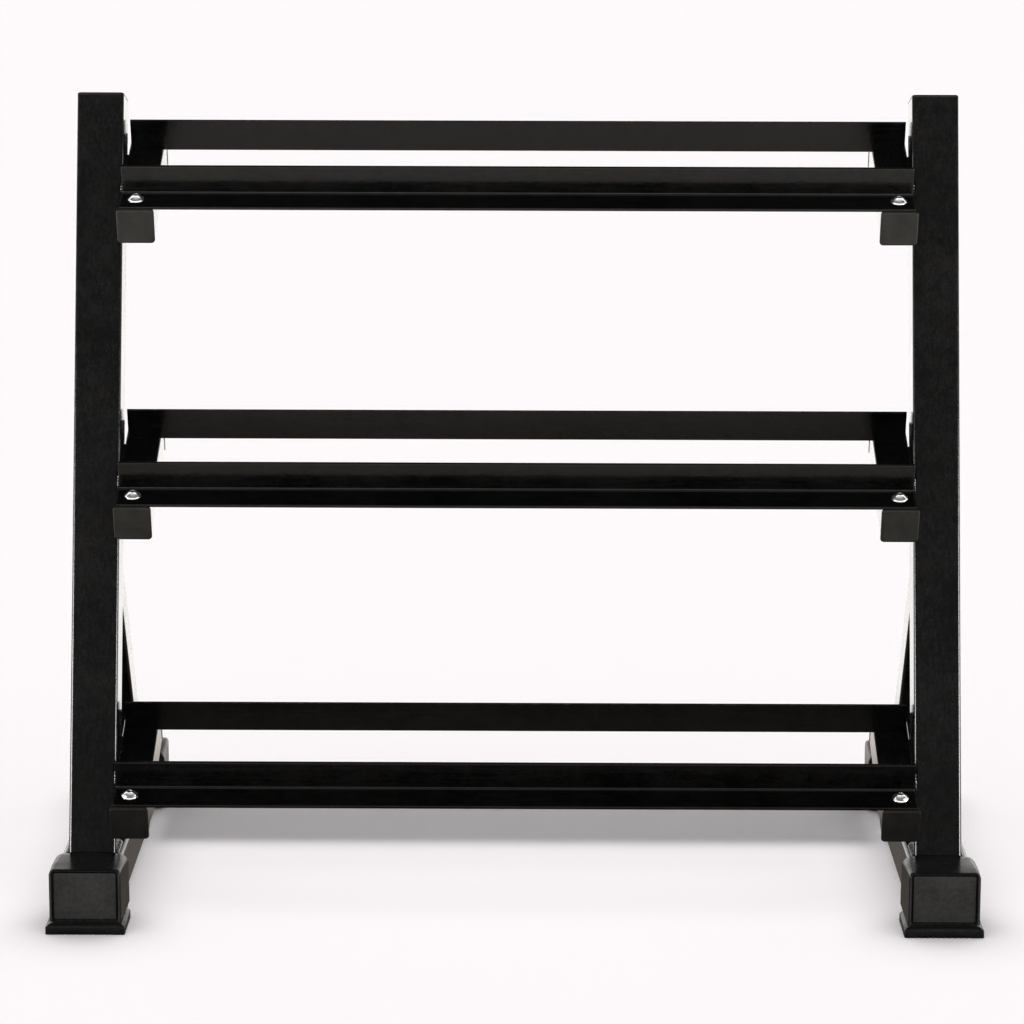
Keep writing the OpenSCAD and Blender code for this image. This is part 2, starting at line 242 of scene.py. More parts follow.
def powder_coat(name, base=0.0023, light=0.0190, rough=0.24, coat=0.75, coat_rough=0.14,
                peel=0.36, edge=0.06, edge_radius=0.0011, grain=(100, 100, 24), mottle=420.0):
    """Semi-gloss black powder coat: orange peel, soft colour and gloss
    variation with a grain, lighter on outer edges partly as thinner paint and wear and partly as a painted edge
    highlight, a few dust specks."""
    m, n = new_material(name)
    co = n.add("ShaderNodeTexCoord")
    bev, mask = edge_mask(n, edge_radius, outer_only=True)
    broad = n.noise(co, 9.0, 3.0, 0.6)
    streak = n.add("ShaderNodeTexNoise", Scale=3.0, Detail=3.0, Roughness=0.6)
    mp = n.add("ShaderNodeMapping")
    mp.inputs["Scale"].default_value = grain
    n.link(co, "Object", mp, "Vector")
    n.link(mp, "Vector", streak, "Vector")
    fine = n.noise(co, mottle, 4.0, 0.72)
    patch = n.noise(co, 64.0, 3.0, 0.6)
    tone = n.math("ADD", (broad, "Fac"), (fine, "Fac"))
    tone = n.math("ADD", (tone, "Value"), (fine, "Fac"))
    tone = n.math("ADD", (tone, "Value"), (streak, "Fac"))
    tone = n.math("ADD", (tone, "Value"), (patch, "Fac"))
    t = n.ramp(tone, "Value", 2.22, 2.86)
    hue = n.noise(co, 38.0, 3.0, 0.6)
    h = n.ramp(hue, "Fac", 0.38, 0.62)
    warm = n.mix((h, "Result"), (light * 0.92, light * 0.98, light * 1.10), (light * 1.08, light, light * 0.86))
    col = n.mix((t, "Result"), (base, base, base * 1.04), (warm, "Result"))
    # sparse dust
    dust = n.add("ShaderNodeTexVoronoi", Scale=95.0, feature="F1")
    n.link(co, "Object", dust, "Vector")
    speck = n.ramp(dust, "Distance", 0.035, 0.015)
    dusty = n.noise(co, 21.0, 1.0)
    some = n.ramp(dusty, "Fac", 0.60, 0.66)
    dm = n.math("MULTIPLY", (speck, "Result"), (some, "Result"))
    dm = n.math("MULTIPLY", (dm, "Value"), 0.30)
    col = n.mix((dm, "Value"), (col, "Result"), (0.10, 0.098, 0.095))
    # outer edges lightened: partly wear, partly a painted highlight along the edges
    edge_wear_and_highlight_noise = n.noise(co, 110.0, 3.0, 0.65)
    edge_wear_and_highlight = n.ramp(edge_wear_and_highlight_noise, "Fac", 0.42, 0.66)
    w = n.math("MULTIPLY", (mask, "Result"), (edge_wear_and_highlight, "Result"))
    col = n.mix((w, "Value"), (col, "Result"), (edge, edge * 0.96, edge * 0.91))
    rgh = n.math("ADD", (broad, "Fac"), (streak, "Fac"))
    rgh = n.ramp(rgh, "Value", 0.7, 1.3, rough - 0.06, rough + 0.07)
    # orange peel: two scales
    p1 = n.noise(co, 620.0, 1.5, 0.5)
    p2 = n.noise(co, 190.0, 1.5, 0.5)
    b1 = n.bump(p1, "Fac", peel, 0.00011, bev)
    b2 = n.bump(p2, "Fac", peel, 0.00026, b1)
    p = n.add("ShaderNodeBsdfPrincipled")
    p.inputs["Coat Weight"].default_value = coat
    p.inputs["Coat Roughness"].default_value = coat_rough
    p.inputs["Coat IOR"].default_value = 1.5
    p.inputs["IOR"].default_value = 1.45
    n.link(col, "Result", p, "Base Color")
    n.link(rgh, "Result", p, "Roughness")
    n.link(b2, "Normal", p, "Normal")
    n.link(b2, "Normal", p, "Coat Normal")
    out = n.add("ShaderNodeOutputMaterial")
    n.link(p, "BSDF", out, "Surface")
    return m


def moulded_plastic(name, base=0.051, rough=0.40, edge=0.13, grain=0.34):
    """Satin moulded plastic: fine spark-eroded grain, lighter rubbed edges."""
    m, n = new_material(name)
    co = n.add("ShaderNodeTexCoord")
    bev, mask = edge_mask(n, 0.0010, 0.01, 0.2)
    broad = n.noise(co, 60.0, 3.0, 0.6)
    fine = n.noise(co, 900.0, 3.0, 0.6)
    tone = n.math("ADD", (broad, "Fac"), (fine, "Fac"))
    t = n.ramp(tone, "Value", 0.80, 1.20)
    col = n.mix((t, "Result"), (base * 0.76, base * 0.73, base * 0.71), (base * 1.24, base * 1.19, base * 1.14))
    rub_n = n.noise(co, 240.0, 2.0, 0.6)
    rub = n.ramp(rub_n, "Fac", 0.30, 0.62)
    w = n.math("MULTIPLY", (mask, "Result"), (rub, "Result"))
    col = n.mix((w, "Value"), (col, "Result"), (edge, edge * 0.97, edge * 0.94))
    rgh = n.ramp(broad, "Fac", 0.3, 0.7, rough - 0.06, rough + 0.06)
    g1 = n.noise(co, 1500.0, 2.0, 0.6)
    b1 = n.bump(g1, "Fac", grain, 0.00006, bev)
    p = n.add("ShaderNodeBsdfPrincipled")
    p.inputs["IOR"].default_value = 1.60
    n.link(col, "Result", p, "Base Color")
    n.link(rgh, "Result", p, "Roughness")
    n.link(b1, "Normal", p, "Normal")
    out = n.add("ShaderNodeOutputMaterial")
    n.link(p, "BSDF", out, "Surface")
    return m


def boot_rubber(name, base=0.020, rough=0.34, grain=0.22, scuffs=0.6, spread=0.25):
    """Charcoal moulded rubber: mottled, finely grained, scuffed at the edges."""
    m, n = new_material(name)
    co = n.add("ShaderNodeTexCoord")
    bev, mask = edge_mask(n, 0.0012, 0.01, 0.22)
    broad = n.noise(co, 26.0, 4.0, 0.6)
    mid = n.noise(co, 210.0, 4.0, 0.65)
    tone = n.math("ADD", (broad, "Fac"), (mid, "Fac"))
    t = n.ramp(tone, "Value", 0.75, 1.25)
    lo, hi = base * (1 - spread), base * (1 + spread)
    col = n.mix((t, "Result"), (lo, lo, lo * 1.03), (hi, hi * 0.99, hi * 0.97))
    scuff_n = n.noise(co, 190.0, 3.0, 0.7)
    scuff = n.ramp(scuff_n, "Fac", 0.36, 0.62)
    w = n.math("MULTIPLY", (mask, "Result"), (scuff, "Result"))
    w = n.math("MULTIPLY", (w, "Value"), scuffs)
    col = n.mix((w, "Value"), (col, "Result"), (0.11, 0.107, 0.102))
    # faint dusty scratches
    sc = n.add("ShaderNodeTexNoise", Scale=1.0, Detail=2.0, Roughness=0.5)
    mp = n.add("ShaderNodeMapping")
    mp.inputs["Scale"].default_value = (60, 60, 900)
    mp.inputs["Rotation"].default_value = (0.35, 0.2, 0.0)
    n.link(co, "Object", mp, "Vector")
    n.link(mp, "Vector", sc, "Vector")
    scr = n.ramp(sc, "Fac", 0.64, 0.70, 0.0, 0.16)
    col = n.mix((scr, "Result"), (col, "Result"), (0.16, 0.16, 0.16))
    rgh = n.ramp(broad, "Fac", 0.3, 0.7, rough - 0.07, rough + 0.08)
    g1 = n.noise(co, 1100.0, 2.0, 0.6)
    g2 = n.noise(co, 260.0, 2.0, 0.5)
    b1 = n.bump(g1, "Fac", grain, 0.00008, bev)
    b2 = n.bump(g2, "Fac", grain * 0.6, 0.0003, b1)
    p = n.add("ShaderNodeBsdfPrincipled")
    p.inputs["IOR"].default_value = 1.5
    n.link(col, "Result", p, "Base Color")
    n.link(rgh, "Result", p, "Roughness")
    n.link(b2, "Normal", p, "Normal")
    out = n.add("ShaderNodeOutputMaterial")
    n.link(p, "BSDF", out, "Surface")
    return m


def zinc_plate(name, base=0.90, rough=0.22):
    """Bright zinc plating: faint fine grain, cloudy tone, duller edges."""
    m, n = new_material(name)
    co = n.add("ShaderNodeTexCoord")
    bev, mask = edge_mask(n, 0.0003, 0.01, 0.2)
    cloud = n.noise(co, 420.0, 3.0, 0.6)
    fine = n.noise(co, 2600.0, 2.0, 0.6)
    t = n.ramp(cloud, "Fac", 0.3, 0.7)
    col = n.mix((t, "Result"), (base * 0.92, base * 0.93, base * 0.96), (base * 1.08, base * 1.07, base * 1.04))
    dull = n.math("MULTIPLY", (mask, "Result"), 0.35)
    col = n.mix((dull, "Value"), (col, "Result"), (base * 0.7, base * 0.69, base * 0.66))
    rgh = n.ramp(fine, "Fac", 0.3, 0.7, rough - 0.07, rough + 0.08)
    b1 = n.bump(fine, "Fac", 0.20, 0.00004, bev)
    b2 = n.bump(cloud, "Fac", 0.22, 0.00010, b1)
    p = n.add("ShaderNodeBsdfPrincipled")
    p.inputs["Metallic"].default_value = 1.0
    n.link(col, "Result", p, "Base Color")
    n.link(rgh, "Result", p, "Roughness")
    n.link(b2, "Normal", p, "Normal")
    out = n.add("ShaderNodeOutputMaterial")
    n.link(p, "BSDF", out, "Surface")
    return m


MAT_FRAME = powder_coat("frame_powder_coat")
MAT_DEPTH = powder_coat("frame_powder_coat_lengthwise", grain=(100, 24, 100))
MAT_RAIL = powder_coat("rail_powder_coat", base=0.0004, light=0.0120, rough=0.20, coat_rough=0.12, peel=0.36, edge=0.13,
                       grain=(9, 120, 120), mottle=360.0)
MAT_WELD = powder_coat("weld_powder_coat", base=0.0030, light=0.014, rough=0.20, coat_rough=0.07, coat=1.0,
                       peel=0.5, edge=0.09, edge_radius=0.0006)
MAT_CAP = moulded_plastic("end_cap_plastic")
MAT_BOOT = boot_rubber("boot_rubber", base=0.024, rough=0.25, scuffs=0.75)
MAT_PANEL = boot_rubber("boot_rubber_textured", base=0.084, rough=0.60, grain=0.45, scuffs=0.2, spread=0.30)
# near-black rubber for the insides of the tread grooves: painted shade in the recesses
MAT_GROOVE_PAINTED_SHADE = boot_rubber("boot_rubber_groove_painted_shade", base=0.0015, rough=0.85, grain=0.2, scuffs=0.0, spread=0.1)
MAT_ZINC = zinc_plate("zinc_bolt")
MAT_ZINC2 = zinc_plate("zinc_washer", base=0.80, rough=0.28)
MAT_ZINC3 = zinc_plate("zinc_nut", base=0.78, rough=0.30)

for node, obj in frame["nodes"].items():
    if node.endswith("_washers"):
        mat = MAT_ZINC2
    elif node.endswith("_nuts"):
        mat = MAT_ZINC3
    elif node.endswith("_bolts"):
        mat = MAT_ZINC
    elif node.endswith("_cap"):
        mat = MAT_CAP
    elif node.endswith("_boot"):
        mat = MAT_BOOT
    elif node.endswith("_rail"):
        mat = MAT_RAIL
    elif node.endswith("_upright"):
        mat = MAT_FRAME
    else:
        mat = MAT_DEPTH
    if not obj.material_slots:
        obj.data.materials.append(mat)
    for s in obj.material_slots:
        s.material = mat


# ---------------------------------------------------------------- helpers
def mesh_object(name, verts, faces, mat, smooth=True, sharp=0.6):
    me = bpy.data.meshes.new(name)
    me.from_pydata([tuple(v) for v in verts], [], faces)
    me.validate()
    bm = bmesh.new()
    bm.from_mesh(me)
    bmesh.ops.remove_doubles(bm, verts=bm.verts, dist=1e-6)
    bmesh.ops.dissolve_degenerate(bm, edges=bm.edges, dist=1e-7)
    bmesh.ops.recalc_face_normals(bm, faces=bm.faces)
    bm.to_mesh(me)
    bm.free()
    me.materials.append(mat)
    ob = bpy.data.objects.new(name, me)
    COL.objects.link(ob)
    if smooth:
        shade(ob, sharp)
    return ob


def shade(ob, angle):
    me = ob.data
    me.polygons.foreach_set("use_smooth", [True] * len(me.polygons))
    me.set_sharp_from_angle(angle=angle)


def loft(rings, close=True, cap_start=True, cap_end=True):
    """Vertices and faces of a skin through rings of equal length."""
    n = len(rings[0])
    verts = [v for r in rings for v in r]
    faces = []
    for i in range(len(rings) - 1):
        for j in range(n if close else n - 1):
            k = (j + 1) % n
            faces.append((i * n + j, i * n + k, (i + 1) * n + k, (i + 1) * n + j))
    if cap_start:
        faces.append(tuple(range(n - 1, -1, -1)))
    if cap_end:
        faces.append(tuple(range((len(rings) - 1) * n, len(rings) * n)))
    return verts, faces


def rr_ring(w, h, r, seg=7):
    """Rectangle with round corners as (x, y) points, anticlockwise."""
    r = max(r, 1e-5)
    pts = []
    for cx, cy, a0 in ((w / 2 - r, h / 2 - r, 0), (-w / 2 + r, h / 2 - r, 90),
                       (-w / 2 + r, -h / 2 + r, 180), (w / 2 - r, -h / 2 + r, 270)):
        for i in range(seg + 1):
            a = math.radians(a0 + 90 * i / seg)
            pts.append((cx + r * math.cos(a), cy + r * math.sin(a)))
    return pts


def transform(ob, m):
    ob.data.transform(m)
    ob.data.update()


def join(name, obs):
    """Merges objects into one mesh object."""
    bm = bmesh.new()
    mats = []
    for o in obs:
        me = o.data
        idx = []
        for mt in me.materials:
            if mt not in mats:
                mats.append(mt)
            idx.append(mats.index(mt))
        start = len(bm.faces)
        bm.from_mesh(me)
        bm.faces.ensure_lookup_table()
        for f in bm.faces[start:]:
            f.material_index = idx[f.material_index] if idx else 0
    me = bpy.data.meshes.new(name)
    bm.to_mesh(me)
    bm.free()
    for mt in mats:
        me.materials.append(mt)
    for o in obs:
        old = o.data
        bpy.data.objects.remove(o)
        bpy.data.meshes.remove(old)
    ob = bpy.data.objects.new(name, me)
    COL.objects.link(ob)
    return ob


def boolean(ob, cutters, op="DIFFERENCE"):
    """Applies exact booleans with each cutter and removes the cutters."""
    for c in cutters:
        mod = ob.modifiers.new("cut", "BOOLEAN")
        mod.operation = op
        mod.solver = "EXACT"
        mod.object = c
        dg = bpy.context.evaluated_depsgraph_get()
        me = bpy.data.meshes.new_from_object(ob.evaluated_get(dg))
        ob.modifiers.clear()
        old = ob.data
        ob.data = me
        bpy.data.meshes.remove(old)
    for c in cutters:
        old = c.data
        bpy.data.objects.remove(c)
        bpy.data.meshes.remove(old)


def place(ob, name, nodes=()):
    ob.name = name
    ob.data.name = name
    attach(ob, "root")
    if nodes:
        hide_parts(*nodes)
    return ob


# --------------------------------------------------------------- end caps
def plug_cap(name, w, r, t, in_w, depth, crown=0.0):
    """Moulded plug cap: plate with a rolled rim and a faint step inside it,
    and a hollow plug with grip fins. Plate front at z = t, tube end at z = 0."""
    rings = []
    prof = [  # inset, height share of t
        (0.0, 0.0), (0.0, t * 0.40), (0.00015, t * 0.58), (0.0005, t * 0.76), (0.0010, t * 0.90),
        (0.0017, t * 0.98), (0.0024, t), (0.0032, t), (0.0038, t * 0.975), (0.0046, t * 0.965),
        (0.010, t * 0.965), (w / 2 - 0.004, t * 0.965 + crown)]
    for inset, z in prof:
        rr = max(r - inset * 0.8, 0.0012)
        ww = w - 2 * inset
        rr = min(rr, ww / 2 - 1e-4)
        rings.append([Vector((x, y, z)) for x, y in rr_ring(ww, ww, rr)])
    # underside of the plate out to the plug, then the plug's walls
    back = []
    for ww, z, rr in ((in_w, 0.0, 0.0012), (in_w, -depth * 0.25, 0.0012), (in_w + 0.0000, -depth * 0.3, 0.0012),
                      (in_w - 0.0010, -depth * 0.36, 0.0012), (in_w, -depth * 0.42, 0.0012),
                      (in_w - 0.0010, -depth * 0.62, 0.0012), (in_w, -depth * 0.68, 0.0012),
                      (in_w - 0.0012, -depth, 0.0012), (in_w - 0.0034, -depth, 0.001), (in_w - 0.0036, -0.0002, 0.001)):
        back.append([Vector((x, y, z)) for x, y in rr_ring(ww, ww, rr)])
    allr = list(reversed(rings)) + back
    v, f = loft(allr)
    return mesh_object(name, v, f, MAT_CAP, sharp=0.55)


def bracket_caps():
    for tier in TIERS:
        m = on_tier(tier)
        for side in SIDES:
            for end in ("front", "rear"):
                node = "%s_%s_bracket_%s_cap" % (side, tier, end)
                ob = plug_cap(node + "_look", 0.040 if end == "front" else 0.0388, 0.004, 0.003, 0.0337, 0.010)
                if end == "front":
                    loc = Matrix.Translation((bracket_x(side), 0.003, -0.019)) @ Matrix.Rotation(math.radians(90), 4, "X")
                else:
                    ln = 0.003 + 0.180
                    loc = Matrix.Translation((bracket_x(side), ln, -0.019)) @ Matrix.Rotation(math.radians(-90), 4, "X")
                transform(ob, m @ loc)
                place(ob, node + "_look", (node,))


def upright_caps():
    for side in SIDES:
        node = "%s_upright_cap" % side
        ob = plug_cap(node + "_look", 0.050, 0.004, 0.0025, 0.0457, 0.014)
        x = frame_x(side)
        zt = CAD_HI.z
        # the plate's top lies square to the tube, its front edge at the top of the face
        up = Vector((0, math.sin(LEAN), math.cos(LEAN)))
        back = Vector((0, math.cos(LEAN), -math.sin(LEAN)))
        front_top = Vector((x, face_y(zt), zt))
        c = front_top + back * 0.025 - up * 0.0025
        rot = Matrix.Rotation(-LEAN, 4, "X")
        transform(ob, Matrix.Translation(c) @ rot)
        place(ob, node + "_look", (node,))


# ------------------------------------------------------------------ boots
def boot_mesh(name):
    """One boot: nose at y = 0, mouth towards +y, centred on x, sole at z = 0."""
    NOSE, MOUTH, RAKE = 0.004, 0.075, 0.005
    SOLE_W, SOLE_L = 0.083, 0.073
    TOP, LOW = 0.068, 0.0128
    W0, W1 = 0.0745, 0.078  # width at the nose and at the mouth

    def width(y):
        t = min(max((y - NOSE) / (MOUTH - NOSE), 0), 1)
        return W0 + (W1 - W0) * t

    def outline(w, lo, hi, r_top, r_low):
        """Front outline, anticlockwise from the middle of the bottom."""
        pts = [(w * 0.25, lo)]
        for i in range(6):
            a = math.radians(-90 + 90 * i / 5)
            pts.append((w / 2 - r_low + r_low * math.cos(a), lo + r_low + r_low * math.sin(a)))
        for t in (0.25, 0.5, 0.75):
            pts.append((w / 2, lo + r_low + (hi - r_top - lo - r_low) * t))
        for i in range(9):
            a = math.radians(90 * i / 8)
            pts.append((w / 2 - r_top + r_top * math.cos(a), hi - r_top + r_top * math.sin(a)))
        pts.append((w * 0.2, hi))
        return [(0.0, lo)] + pts + [(0.0, hi)] + [(-x, z) for x, z in reversed(pts)]

    def station(y, inset, rake=0.0, upright=None):
        """Outline at depth y, drawn in by inset at the sides and by upright
        (the same when not given) at top and bottom."""
        vi = inset if upright is None else upright
        t = min(max((y - NOSE) / (MOUTH - NOSE), 0), 1)
        r = 0.0046 + 0.0048 * t * t
        rt = max(r - inset * 0.9, 0.0016)
        rl = max(0.0010 - inset * 0.3, 0.0004)
        out = []
        for x, z in outline(width(y) - 2 * inset, LOW + vi, TOP - vi, rt, rl):
            drop = 0.0
            if z > TOP - 0.012:
                # the top sinks a little towards the mouth's corners
                drop = -0.0022 * t * t * (abs(x) / (width(y) / 2)) ** 3 * min(1.0, (z - TOP + 0.012) / 0.010)
            out.append(Vector((x, y + rake * (TOP - z) / (TOP - 0.013), z + drop)))
        return out

    RIM, DEEP = 0.0026, 0.0015
    rings = [station(NOSE + DEEP - 0.0003, 0.016, 0, 0.012), station(NOSE + DEEP, RIM + 0.0036, 0, 0.0042),
             station(NOSE + DEEP, RIM + 0.0021, 0, 0.0028), station(NOSE + DEEP + 0.0003, RIM + 0.0018, 0, 0.0025),
             station(NOSE + DEEP + 0.0022, RIM + 0.0016, 0, 0.0023), station(NOSE + DEEP + 0.0022, RIM + 0.0004, 0, 0.0011),
             station(NOSE + DEEP, RIM + 0.0002, 0, 0.0010), station(NOSE + 0.0003, RIM + 0.0001, 0, 0.0009),
             station(NOSE + 0.00005, RIM - 0.0003, 0, 0.0008), station(NOSE, RIM - 0.0008, 0, 0.0007),
             station(NOSE, 0.0013, 0, 0.0006), station(NOSE + 0.0002, 0.0007, 0, 0.0004), station(NOSE + 0.0006, 0.0003),
             station(NOSE + 0.0013, 0.0)]
    for y in (0.012, 0.022, 0.032, 0.042, 0.052, 0.060, 0.067):
        rings.append(station(y, 0.0))
    rings += [station(MOUTH - 0.0014, 0.0, RAKE), station(MOUTH - 0.0006, 0.0002, RAKE), station(MOUTH - 0.0002, 0.0006, RAKE),
              station(MOUTH, 0.0014, RAKE)]
    v, f = loft(rings)
    body = mesh_object(name, v, f, MAT_BOOT, smooth=False)

    # neck: leaves a dark groove between body and sole
    def plan(hw_front, hw_back, y_front, y_back, r_front, r_back, z):
        pts = []
        for i in range(7):
            a = math.radians(-90 + 90 * i / 6)
            pts.append((hw_front - r_front + r_front * math.cos(a), y_front + r_front + r_front * math.sin(a)))
        for i in range(7):
            a = math.radians(90 * i / 6)
            pts.append((hw_back - r_back + r_back * math.cos(a), y_back - r_back + r_back * math.sin(a)))
        full = [(0.0, y_front)] + pts + [(0.0, y_back)] + [(-x, y) for x, y in reversed(pts)]
        return [Vector((x, y, z)) for x, y in full]
    v, f = loft([plan(W0 / 2 - 0.0019, W1 / 2 - 0.0016, NOSE + 0.0022, MOUTH + 0.0030, 0.002, 0.0015, z) for z in (0.0085, 0.0170)])
    neck = mesh_object("neck", v, f, MAT_BOOT, smooth=False)
    h = SOLE_W / 2
    v, f = loft([plan(h - 0.0005, h - 0.0005, 0.0005, SOLE_L - 0.0005, 0.0012, 0.0115, 0.0),
                 plan(h, h, 0.0, SOLE_L, 0.0012, 0.012, 0.0006),
                 plan(h, h, 0.0, SOLE_L, 0.0012, 0.012, 0.0074),
                 plan(h - 0.0002, h - 0.0002, 0.0002, SOLE_L - 0.0001, 0.0013, 0.012, 0.0079),
                 plan(h - 0.0034, h - 0.0033, 0.0030, SOLE_L - 0.0008, 0.0018, 0.011, 0.0102),
                 plan(h - 0.0040, h - 0.0039, 0.0036, SOLE_L - 0.0011, 0.0020, 0.011, 0.0106),
                 plan(h - 0.0050, h - 0.0049, 0.0046, SOLE_L - 0.0016, 0.0020, 0.011, 0.0107)])
    sole = mesh_object("sole", v, f, MAT_BOOT, smooth=False)
    boolean(body, [neck, sole], "UNION")

    # pocket for the base tube, and tread grooves
    pr = rr_ring(0.065, 0.050, 0.004, 6)
    v, f = loft([[Vector((x, yy, z + 0.039)) for x, z in pr] for yy in (0.008, 0.12)])
    cutters = [mesh_object("pocket", v, f, MAT_BOOT, smooth=False)]
    for i in range(10):
        x = (i - 4.5) * 0.0058
        v, f = loft([[Vector((x - 0.0013, yy, -0.001)), Vector((x + 0.0013, yy, -0.001)),
                      Vector((x + 0.0011, yy, 0.0026)), Vector((x - 0.0011, yy, 0.0026))] for yy in (-0.002, 0.0016)])
        cutters.append(mesh_object("groove", v, f, MAT_BOOT, smooth=False))
    boolean(body, cutters)
    bm = bmesh.new()
    bm.from_mesh(body.data)
    bmesh.ops.remove_doubles(bm, verts=bm.verts, dist=2e-6)
    bmesh.ops.dissolve_degenerate(bm, edges=bm.edges, dist=1e-6)
    for f in bm.faces:
        c = f.calc_center_median()
        panel = NOSE + DEEP - 0.0006 < c.y < NOSE + DEEP + 0.0004
        rim = NOSE - 0.0002 < c.y < NOSE + 0.0005
        if f.normal.y < -0.90 and (panel or rim) and c.z > LOW + 0.0003:
            f.material_index = 1
        # faces inside the tread grooves take the near-black rubber: painted shade
        if c.z < 0.0027 and ((abs(f.normal.y) > 0.9 and 0.0010 < c.y < 0.0022) or (c.y < 0.0017 and abs(f.normal.y) < 0.3 and abs(c.x) < 0.030 and c.z > 0.0002)):
            f.material_index = 2
    body.data.materials.clear()
    body.data.materials.append(MAT_BOOT)
    body.data.materials.append(MAT_PANEL)
    body.data.materials.append(MAT_GROOVE_PAINTED_SHADE)
    bm.to_mesh(body.data)
    bm.free()
    shade(body, 0.55)
    return body


def boots():
    for side in SIDES:
        for end in ("front", "rear"):
            node = "%s_%s_boot" % (side, end)
            lo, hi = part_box(node)
            ob = boot_mesh(node + "_look")
            x = (lo.x + hi.x) / 2
            if end == "front":
                m = Matrix.Translation((x, lo.y, 0))
            else:
                m = Matrix.Translation((x, hi.y, 0)) @ Matrix.Rotation(math.pi, 4, "Z")
            transform(ob, m)
            place(ob, node + "_look", (node,))


# ------------------------------------------------------------------ bolts
def lathe(profile, seg=56):
    """profile: (radius, z) from the outside bottom to the top."""
    rings = []
    for r, z in profile:
        rings.append([Vector((r * math.cos(2 * math.pi * i / seg), r * math.sin(2 * math.pi * i / seg), z)) for i in range(seg)])
    return rings


def bolt_mesh(name, spin):
    seg = 60
    prof = [(0.0040, -0.0500), (0.0031, -0.0500), (0.0040, -0.0491), (0.0040, -0.0002), (0.0041, 0.0),
            (0.00845, 0.0), (0.00868, 0.0001), (0.00875, 0.00035), (0.00875, 0.00080), (0.00866, 0.00105), (0.00845, 0.00120),
            (0.00770, 0.00134), (0.00728, 0.00152), (0.00700, 0.00185), (0.00665, 0.00238), (0.00618, 0.00300),
            (0.00560, 0.00367), (0.00500, 0.00427), (0.00436, 0.00485), (0.00385, 0.00527), (0.00345, 0.00556),
            (0.00318, 0.00575), (0.00296, 0.00587), (0.00268, 0.00594), (0.00250, 0.00594)]
    prof = prof[1:]
    # shank thread, as fine rings
    thread = []
    z = -0.0491
    while z < -0.0280:
        thread += [(0.00400, z), (0.00352, z + 0.0005)]
        z += 0.00125
    full = [prof[0]] + thread + [(0.0040, z), (0.0040, -0.0002)] + prof[3:]
    rings = lathe(full, seg)
    # hexagon socket: ring at the mouth blends from circle to hexagon
    def hexr(a, af):
        a = (a + math.pi / 6) % (math.pi / 3) - math.pi / 6
        return af / 2 / math.cos(a)
    for af, zz in ((0.0043, 0.00588), (0.0040, 0.00568), (0.0040, 0.00310)):
        rings.append([Vector((hexr(2 * math.pi * i / seg, af) * math.cos(2 * math.pi * i / seg),
                              hexr(2 * math.pi * i / seg, af) * math.sin(2 * math.pi * i / seg), zz)) for i in range(seg)])
    rings.append([Vector((0.0008 * math.cos(2 * math.pi * i / seg), 0.0008 * math.sin(2 * math.pi * i / seg), 0.0024)) for i in range(seg)])
    v, f = loft(rings)
    ob = mesh_object(name, v, f, MAT_ZINC, sharp=0.5)
    transform(ob, Matrix.Rotation(spin, 4, "Z"))
    return ob


def nut_mesh(name, spin):
    """Thin hexagon nut hanging below z = 0, its corners bevelled on both faces."""
    seg = 60

    def hexr(a, af):
        a = (a + math.pi / 6) % (math.pi / 3) - math.pi / 6
        return af / 2 / math.cos(a)
    AF = 0.013
    rings = []

    def add(fn, z):
        rings.append([Vector((fn(2 * math.pi * i / seg) * math.cos(2 * math.pi * i / seg),
                              fn(2 * math.pi * i / seg) * math.sin(2 * math.pi * i / seg), z)) for i in range(seg)])
    add(lambda a: 0.00405, -0.0004)
    add(lambda a: 0.0045, 0.0)
    add(lambda a: 0.0061, 0.0)
    add(lambda a: min(hexr(a, AF), 0.00655), -0.0002)
    add(lambda a: min(hexr(a, AF), 0.00715), -0.0006)
    add(lambda a: hexr(a, AF), -0.0010)
    add(lambda a: hexr(a, AF), -0.0040)
    add(lambda a: min(hexr(a, AF), 0.00715), -0.0044)
    add(lambda a: min(hexr(a, AF), 0.00655), -0.0048)
    add(lambda a: 0.0061, -0.0050)
    add(lambda a: 0.0045, -0.0050)
    add(lambda a: 0.00405, -0.0046)
    v, f = loft(rings + [rings[0]], cap_start=False, cap_end=False)
    ob = mesh_object(name, v, f, MAT_ZINC3, sharp=0.5)
    transform(ob, Matrix.Rotation(spin, 4, "Z"))
    return ob


def washer_mesh(name):
    seg = 56
    r0, r1, t = 0.0042, 0.0085, 0.0016
    prof = [(r0, -t + 0.0001), (r0 + 0.0001, -t), (r1 - 0.0003, -t), (r1, -t + 0.0003), (r1, -0.0002), (r1 - 0.0002, 0.0),
            (r0 + 0.0001, 0.0), (r0, -0.0001)]
    rings = lathe(prof, seg)
    v, f = loft(rings + [rings[0]], cap_start=False, cap_end=False)
    return mesh_object(name, v, f, MAT_ZINC2, sharp=0.6)


def fasteners():
    for tier in TIERS:
        m = on_tier(tier)
        for end, u in (("front", 0.0205), ("rear", 0.1655)):
            rail = "%s_%s_rail" % (tier, end)
            bolts, nuts, washers = [], [], []
            for side in SIDES:
                x = bracket_x(side)
                spin = random.uniform(0, math.pi)
                b = bolt_mesh("b", spin)
                transform(b, m @ Matrix.Translation((x, u, 0.003)))
                bolts.append(b)
                w = washer_mesh("w")
                transform(w, m @ Matrix.Translation((x, u, -0.038)))
                washers.append(w)
                nt = nut_mesh("n", random.uniform(0, 1))
                transform(nt, m @ Matrix.Translation((x, u, -0.038 - 0.0016)))
                nuts.append(nt)
            for obs, kind, slot in ((bolts, "bolts", "zinc_bolt"), (washers, "washers", "zinc_washer"), (nuts, "nuts", "zinc_nut")):
                name = "%s_%s" % (rail, kind)
                ob = join(name + "_look", obs)
                shade(ob, 0.5)
                place(ob, name + "_look", (name,))


